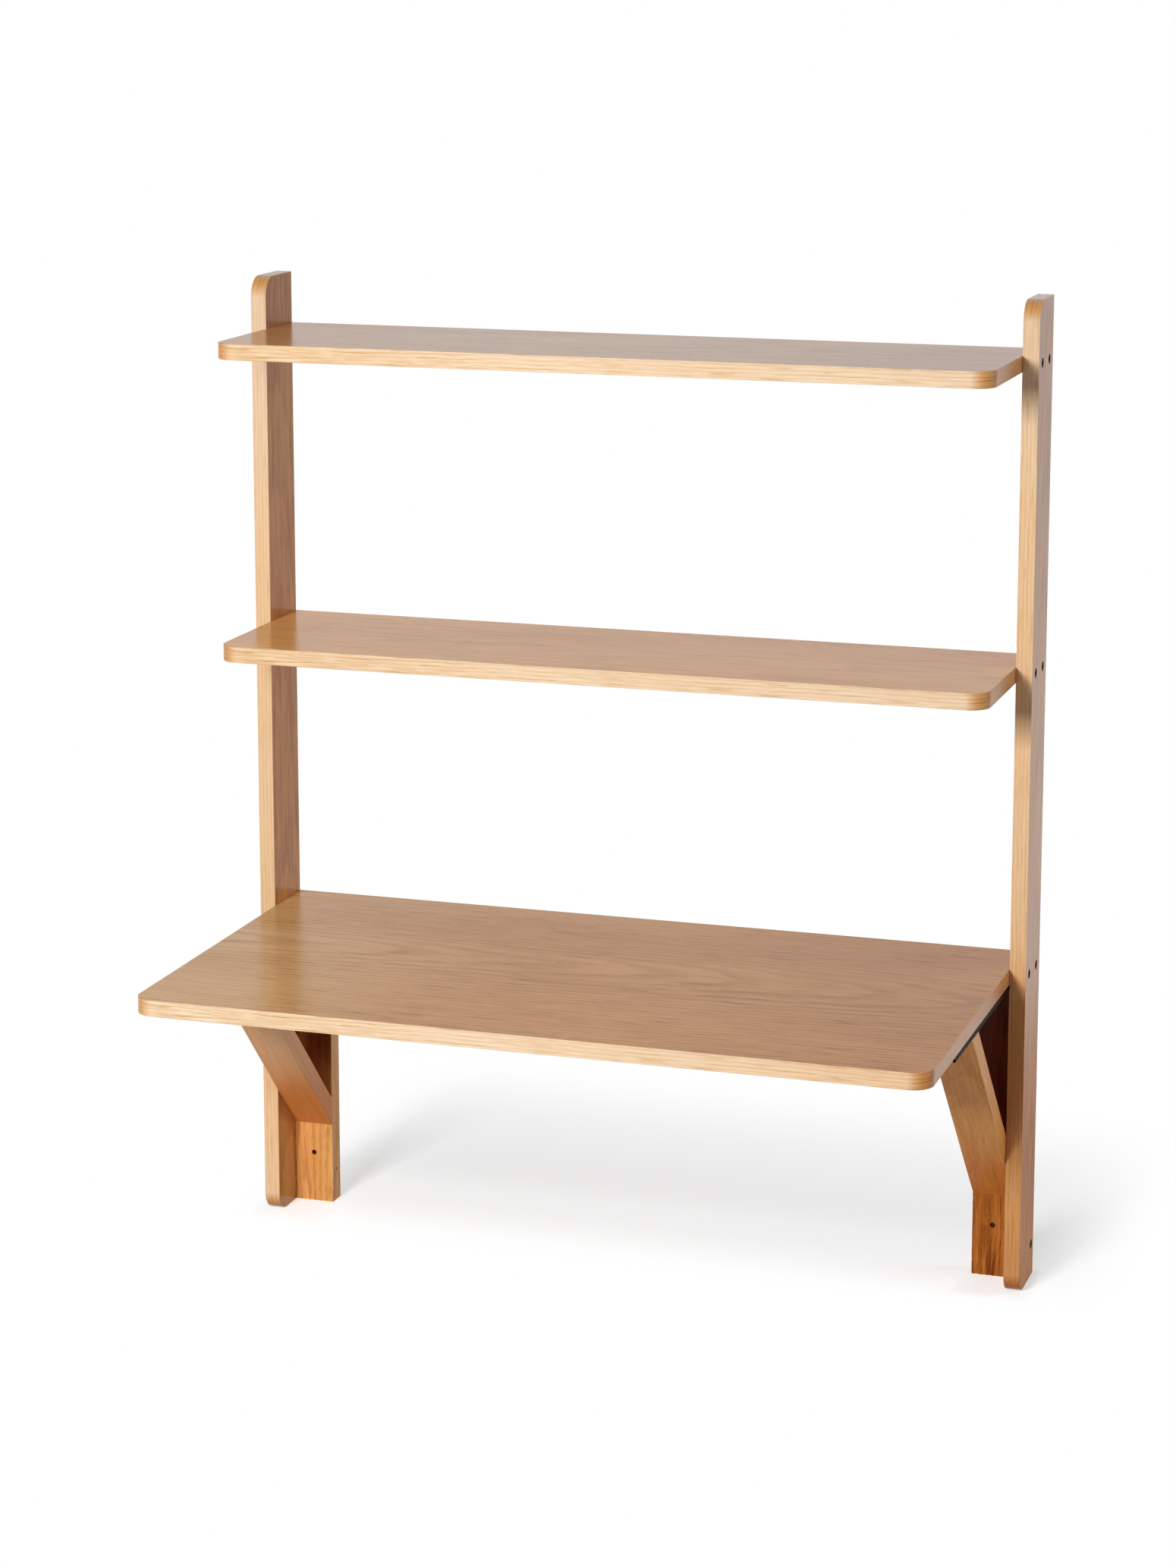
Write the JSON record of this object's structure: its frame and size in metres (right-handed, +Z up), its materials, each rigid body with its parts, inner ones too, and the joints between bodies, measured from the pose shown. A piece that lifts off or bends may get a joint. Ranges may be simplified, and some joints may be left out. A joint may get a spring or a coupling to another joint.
{
  "type": "wall desk",
  "caption": "Wall-hung oak desk: slim uprights carry open shelves above a deep round-cornered desk top, propped from below by slanting braces on wall battens.",
  "frame": {"origin": "on the wall plane, midway between the two wall screw holes in the battens", "axes": "+X along the wall to the right of someone facing it, +Y into the wall, +Z up"},
  "size_m": [1, 0.525, 1.225],
  "materials": {
    "oak_veneer": "satin lacquer",
    "oak_edge": "satin lacquer",
    "solid_oak": "satin lacquer",
    "black_steel": "satin black",
    "black_screw": "black oxide",
    "zinc_steel": "zinc plated",
    "zinc_screw": "zinc plated",
    "beech_dowel": "plain"
  },
  "bodies": {
    "root": {"left_upright": "oak_veneer", "right_upright": "oak_veneer", "top_shelf": "oak_veneer", "middle_shelf": "oak_veneer", "desk_top": "oak_veneer", "left_upright_edge_band": "oak_edge", "right_upright_edge_band": "oak_edge", "top_shelf_edge_band": "oak_edge", "middle_shelf_edge_band": "oak_edge", "desk_top_edge_band": "oak_edge", "left_wall_batten": "solid_oak", "left_brace": "solid_oak", "right_wall_batten": "solid_oak", "right_brace": "solid_oak", "left_desk_rail": "black_steel", "right_desk_rail": "black_steel", "top_shelf_screws": "black_screw", "middle_shelf_screws": "black_screw", "desk_top_screws": "black_screw", "left_batten_screw": "black_screw", "right_batten_screw": "black_screw", "left_keyhole_plate": "zinc_steel", "right_keyhole_plate": "zinc_steel", "left_rail_desk_screws": "zinc_screw", "left_rail_brace_screws": "zinc_screw", "left_brace_foot_screws": "zinc_screw", "left_keyhole_screws": "zinc_screw", "right_rail_desk_screws": "zinc_screw", "right_rail_brace_screws": "zinc_screw", "right_brace_foot_screws": "zinc_screw", "right_keyhole_screws": "zinc_screw", "left_batten_dowels": "beech_dowel", "right_batten_dowels": "beech_dowel"}
  },
  "joints": []
}
